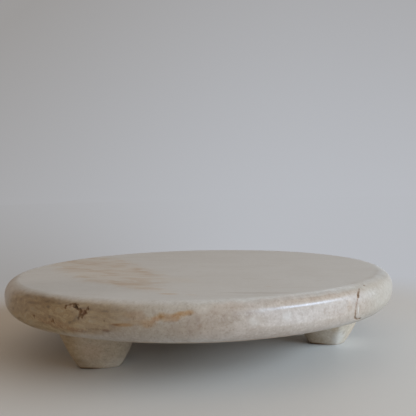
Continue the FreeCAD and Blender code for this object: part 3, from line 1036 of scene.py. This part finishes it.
# The front left foot is browner than the others, and ochre on its outer side.
BROWNER_STONE = {
    "Pale": (0.545, 0.458, 0.347, 1),
    "Cloud": (0.455, 0.376, 0.273, 1),
    "Light mottle": (0.63, 0.575, 0.487, 1),
    "Dark mottle": (0.352, 0.286, 0.204, 1),
}
TANNER_STONE = {
    "Pale": (0.58, 0.505, 0.41, 1),
    "Cloud": (0.50, 0.425, 0.335, 1),
    "Light mottle": (0.66, 0.605, 0.52, 1),
    "Dark mottle": (0.39, 0.32, 0.23, 1),
}
FOOT_STONE = {"back": TANNER_STONE, "front_left": BROWNER_STONE, "front_right": TANNER_STONE}
FOOT_LEFT_SIDE = {
    "Centre": (-104 * MM, -62 * MM, 14 * MM),
    "Half size": (17 * MM, 26 * MM, 30 * MM),
    "Wander": 8 * MM,
    "Soft": 0.8,
}
FOOT_OCHRE = {"back": (), "front_left": (("face", FOOT_LEFT_SIDE, 0.75),), "front_right": ()}


def foot_tint(name, degrees, reach, height, wide, tall, colour, strength, wander=4, look="soaked"):
    """A tint on the side of a foot, mostly a stain and in one place painted shade: so many degrees round
    it, and in millimetres from its axis.
    """
    x, y = middle_of(f"foot_{name}") / MM
    angle = math.radians(degrees)
    return "face", {
        "Centre": Vector((x + reach * math.cos(angle), y + reach * math.sin(angle), height)) * MM,
        "Half size": Vector((wide, wide, tall)) * MM,
        "Wander": wander * MM,
        "Soft": 0.7,
    }, colour, strength, look


FOOT_STAINS_AND_SHADE = {
    "back": (foot_tint("back", 60, 16, 4, 14, 8, DULL_BROWN, 0.6),),
    "front_left": (
        foot_tint("front_left", -150, 16, 4, 11, 9, DULL_BROWN, 0.75),
        foot_tint("front_left", -108, 19, 14, 9, 9, PINKISH, 0.8),
        foot_tint("front_left", -62, 16, 3, 9, 7, FRESH_STONE_AND_HIGHLIGHT, 0.22, look="fresh"),
    ),
    "front_right": (
        # Brown low on this foot's left side: painted shade under the board and by its base.
        foot_tint("front_right", -165, 17, 4, 18, 20, DULL_BROWN, 1.0),
        # A paler, whiter strip down the front of the foot.
        foot_tint("front_right", -83, 17, 7, 6.5, 18, FRESH_STONE_AND_HIGHLIGHT, 0.5, look="fresh"),
        foot_tint("front_right", -45, 19, 10, 9, 12, PINKISH, 0.8),
        foot_tint("front_right", -98, 20, 14, 4, 4, OCHRE, 0.45, look="broken"),
        foot_tint("front_right", -76, 19.5, 12.5, 1.7, 6.5, DARK_LINE, 0.9, 1.5),
    ),
}
for name, shape in FOOT_SHAPES.items():
    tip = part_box(f"foot_{name}")[1].z
    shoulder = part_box(f"bed_{name}")[0].z
    shoulder_radius = radius_of(f"foot_{name}")
    centre = middle_of(f"foot_{name}")
    outline = outline_of_foot(shape[0] * MM, shape[1] * MM, shoulder_radius, shoulder, tip)
    angles = np.radians(np.arange(0, 360, FOOT_TURN_STEP))
    work = work_the_foot(shape, shoulder_radius, shoulder, centre, DARK_EDGE_SIDE[name])
    foot = turned(f"marble_foot_{name}", outline, angles, centre, work)
    finish = marble(f"Foot marble {name}", FOOT_STONE[name], FOOT_STAINS_AND_SHADE[name], FOOT_OCHRE[name])
    foot.data.materials.append(finish)
    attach(foot, "root")
    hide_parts(f"foot_{name}")

# Cement beds
# A thin film of pale stone cement in each joint, round the spigot and between foot and board. It was
# pressed out when the foot was let in, and raked back. The beds keep their own shape.
CEMENT_DARK = (0.42, 0.36, 0.28, 1)
CEMENT = {
    "Pale": (0.60, 0.54, 0.45, 1),
    "Cloud": CEMENT_DARK,
    "Light mottle": (0.66, 0.62, 0.55, 1),
    "Dark mottle": CEMENT_DARK,
}
CEMENT_ROUGHNESS = 0.85
SAND_STRENGTH, SAND_DEPTH = 0.5, 0.3 * MM
cement, tree, shader, where = new_material("Stone cement")
body = use_group(tree, MARBLE_BODY, {"Position": where, **CEMENT})
feed(tree, shader.inputs["Base Color"], body["Color"])
shader.inputs["Roughness"].default_value = CEMENT_ROUGHNESS
sand = {"Strength": SAND_STRENGTH, "Distance": SAND_DEPTH, "Height": body["Grain"]}
feed(tree, shader.inputs["Normal"], add(tree, "Bump", sand).outputs["Normal"])
for name in FOOT_NAMES:
    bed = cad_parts[f"bed_{name}"]
    bed.data.materials.clear()
    bed.data.materials.append(cement)

# Floor and backdrop
# A plain pale floor that keeps the shadow and melts into a pale backdrop, lighter on the window's side.
# It is a wide disc, and the backdrop's colour takes over between two distances from the object.
FLOOR_RADIUS = 6.0
FLOOR_STEP = 3
FADE_START, FADE_END = 0.20, 0.38
FLOOR_COLOUR = (0.62, 0.62, 0.62, 1)
FLOOR_MOTTLE = (0.64, 0.64, 0.64, 1)
FLOOR_MOTTLES_PER_METRE = 3
FLOOR_ROUGHNESS = 0.47
FLOOR_GLOSS = 0.33
BACKDROP_DIM = (0.335, 0.325, 0.32, 1)
BACKDROP_BRIGHT = (0.485, 0.50, 0.535, 1)
# The backdrop grows brighter to the right and dimmer upwards, between these sines of the direction.
BRIGHTER_FROM, BRIGHTER_TO = -0.75, 0.20
DIMMER_FROM, DIMMER_TO, DIMMER_SHARE = -0.1, 0.6, 0.9
CAMERA_HEADING = math.radians(16)
TO_THE_RIGHT = (math.cos(CAMERA_HEADING), -math.sin(CAMERA_HEADING), 0)
floor_mesh = bpy.data.meshes.new("floor")
edge = np.radians(np.arange(0, 360, FLOOR_STEP))
ring = [(FLOOR_RADIUS * math.cos(a), FLOOR_RADIUS * math.sin(a), 0) for a in edge]
floor_mesh.from_pydata(ring, [], [list(range(len(ring)))])
floor = put_in_scene("floor", floor_mesh)


def backdrop_shade():
    """The backdrop's colour in a direction: lighter to the right, dimmer higher up."""
    group, given, gives = new_group(
        "Backdrop shade", (("Direction", "Vector", (0, 0, 1)),), (("Color", "Color"),)
    )
    ahead = vector(group, "NORMALIZE", given["Direction"])
    sideways = add(group, "VectorMath", {0: ahead, 1: TO_THE_RIGHT}, operation="DOT_PRODUCT")
    height = add(group, "SeparateXYZ", {0: ahead}).outputs["Z"]
    brighter = ramp(group, sideways.outputs["Value"], BRIGHTER_FROM, BRIGHTER_TO)
    dimmer = ramp(group, height, DIMMER_FROM, DIMMER_TO, 0.0, DIMMER_SHARE)
    share = reckon(group, "SUBTRACT", brighter, dimmer)
    group.links.new(blend(group, share, BACKDROP_DIM, BACKDROP_BRIGHT), gives["Color"])
    return group


BACKDROP_SHADE = backdrop_shade()


def seen_directly(tree):
    """1 for what the camera sees, straight on or mirrored, and 0 for what only lights the object."""
    path = add(tree, "LightPath").outputs
    mirrored = reckon(tree, "MAXIMUM", path["Is Glossy Ray"], path["Is Transmission Ray"])
    return reckon(tree, "MAXIMUM", path["Is Camera Ray"], mirrored)


floor_finish, tree, shader, where = new_material("Pale floor")
away = add(tree, "VectorMath", {0: where}, operation="LENGTH").outputs["Value"]
mottle = speckle(tree, where, FLOOR_MOTTLES_PER_METRE)
feed(tree, shader.inputs["Base Color"], blend(tree, mottle, FLOOR_COLOUR, FLOOR_MOTTLE))
shader.inputs["Roughness"].default_value = FLOOR_ROUGHNESS
shader.inputs["Specular IOR Level"].default_value = FLOOR_GLOSS
shade = use_group(tree, BACKDROP_SHADE, {"Direction": where})["Color"]
backdrop = add(tree, "Emission", {"Color": shade})
share = reckon(tree, "MULTIPLY", ramp(tree, away, FADE_START, FADE_END), seen_directly(tree))
fade = add(tree, "MixShader", {0: share, 1: shader.outputs["BSDF"], 2: backdrop.outputs["Emission"]})
tree.links.new(fade.outputs["Shader"], tree.nodes["Material Output"].inputs["Surface"])
floor_mesh.materials.append(floor_finish)

# Light
# Cool daylight from one wide window at the right, and dim warm light from all round. Past the floor the
# camera sees the backdrop.
AMBIENT_COLOUR = (1.0, 0.755, 0.52, 1)
AMBIENT_STRENGTH = 0.415
world = bpy.data.worlds.new("Warm light")
bpy.context.scene.world = world
world.use_nodes = True
tree = world.node_tree
ambient = tree.nodes["Background"]
ambient.inputs["Color"].default_value = AMBIENT_COLOUR
ambient.inputs["Strength"].default_value = AMBIENT_STRENGTH
direction = add(tree, "TexCoord").outputs["Generated"]
shade = use_group(tree, BACKDROP_SHADE, {"Direction": direction})["Color"]
shown = add(tree, "Background", {"Color": shade})
sides = {0: seen_directly(tree), 1: ambient.outputs["Background"], 2: shown.outputs["Background"]}
choice = add(tree, "MixShader", sides)
tree.links.new(choice.outputs["Shader"], tree.nodes["World Output"].inputs["Surface"])

WINDOW_AZIMUTH = math.radians(-40)
WINDOW_HEIGHT_ANGLE = math.radians(20.5)
WINDOW_DISTANCE = 1.4
WINDOW_WIDTH, WINDOW_TALL = 1.5, 0.50
WINDOW_POWER = 24.6
WINDOW_COLOUR = (0.72, 0.875, 1.0)
window_data = bpy.data.lights.new("window", "AREA")
window_data.shape = "RECTANGLE"
window_data.size, window_data.size_y = WINDOW_WIDTH, WINDOW_TALL
window_data.energy = WINDOW_POWER
window_data.color = WINDOW_COLOUR
window = put_in_scene("window", window_data)
level = math.cos(WINDOW_HEIGHT_ANGLE)
rise = math.sin(WINDOW_HEIGHT_ANGLE)
towards = Vector((level * math.cos(WINDOW_AZIMUTH), level * math.sin(WINDOW_AZIMUTH), rise))
window.location = towards * WINDOW_DISTANCE
window.rotation_euler = (-towards).to_track_quat("-Z", "Y").to_euler()

# Camera
# It stands as low as the photograph's, a little turned and tilted, and so many board radii away. The
# image is square, and the lens is given as its length in pixels of that image.
IMAGE_PIXELS = 416
LENS_PIXELS = 600
CAMERA_PLACE = Vector((-0.8384, -3.1270, 0.7950)) * BOARD_RADIUS
CAMERA_DIP = math.radians(1.78)
CAMERA_ROLL = math.radians(-1.28)
SENSOR_WIDTH = 36
NEAREST_SEEN = 0.01
camera_data = bpy.data.cameras.new("camera")
camera_data.sensor_width = SENSOR_WIDTH
camera_data.lens = SENSOR_WIDTH * LENS_PIXELS / IMAGE_PIXELS
camera_data.clip_start = NEAREST_SEEN
camera = put_in_scene("camera", camera_data)
ahead = Vector((math.sin(CAMERA_HEADING), math.cos(CAMERA_HEADING), -math.tan(CAMERA_DIP))).normalized()
level_right = Vector(TO_THE_RIGHT)
level_up = level_right.cross(ahead)
right = math.cos(CAMERA_ROLL) * level_right + math.sin(CAMERA_ROLL) * level_up
up = right.cross(ahead)
turning = Matrix((right, up, -ahead)).transposed().to_4x4()
camera.matrix_world = Matrix.Translation(CAMERA_PLACE) @ turning
bpy.context.scene.camera = camera
bpy.context.scene.view_settings.view_transform = "Standard"
